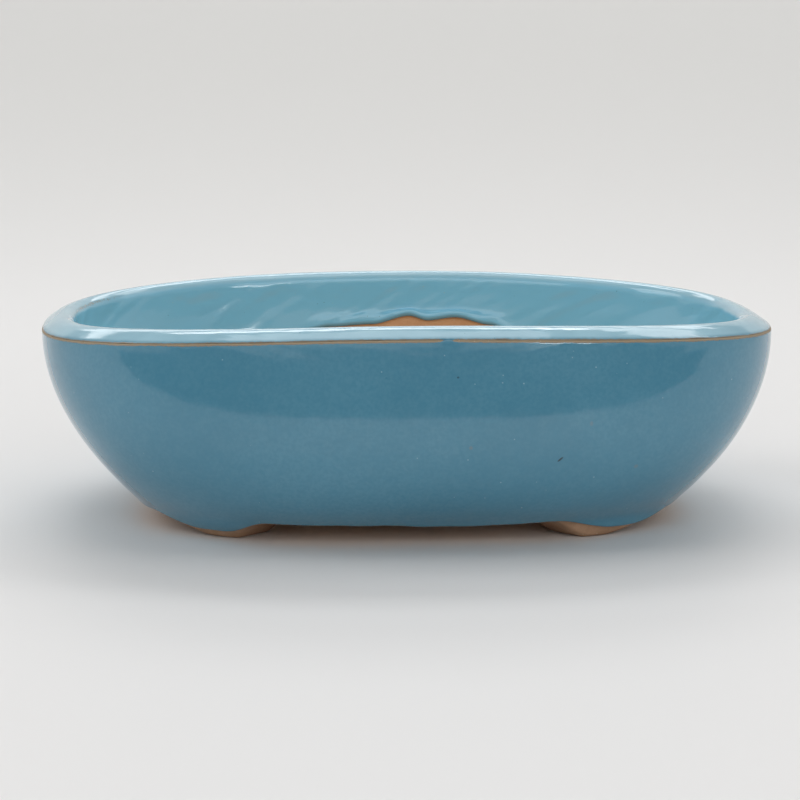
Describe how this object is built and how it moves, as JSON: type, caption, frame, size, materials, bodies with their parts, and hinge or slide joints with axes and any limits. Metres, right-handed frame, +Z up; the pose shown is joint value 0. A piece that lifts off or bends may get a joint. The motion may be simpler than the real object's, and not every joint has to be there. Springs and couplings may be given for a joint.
{
  "type": "bonsai pot",
  "caption": "Small oval bonsai pot with blue glaze outside and over the lip, bare clay inside, low corner feet and drain holes.",
  "frame": {"origin": "on the ground under the centre of the pot", "axes": "+X along the pot, +Y across it, +Z up"},
  "size_m": [0.14, 0.1074, 0.0408],
  "materials": {
    "fired_clay": "bare orange-brown stoneware clay, matt, slightly gritty",
    "foot_clay": "bare beige-brown stoneware clay, matt and worn on the sole",
    "blue_glaze": "glossy turquoise-blue glaze with fine pale and dark specks, paler where it runs thick over the lip"
  },
  "bodies": {
    "root": {"pot_wall": "fired_clay", "pot_floor": "fired_clay", "foot_front_left": "foot_clay", "foot_back_left": "foot_clay", "foot_front_right": "foot_clay", "foot_back_right": "foot_clay", "outer_glaze": "blue_glaze", "rim_glaze": "blue_glaze"}
  },
  "joints": []
}
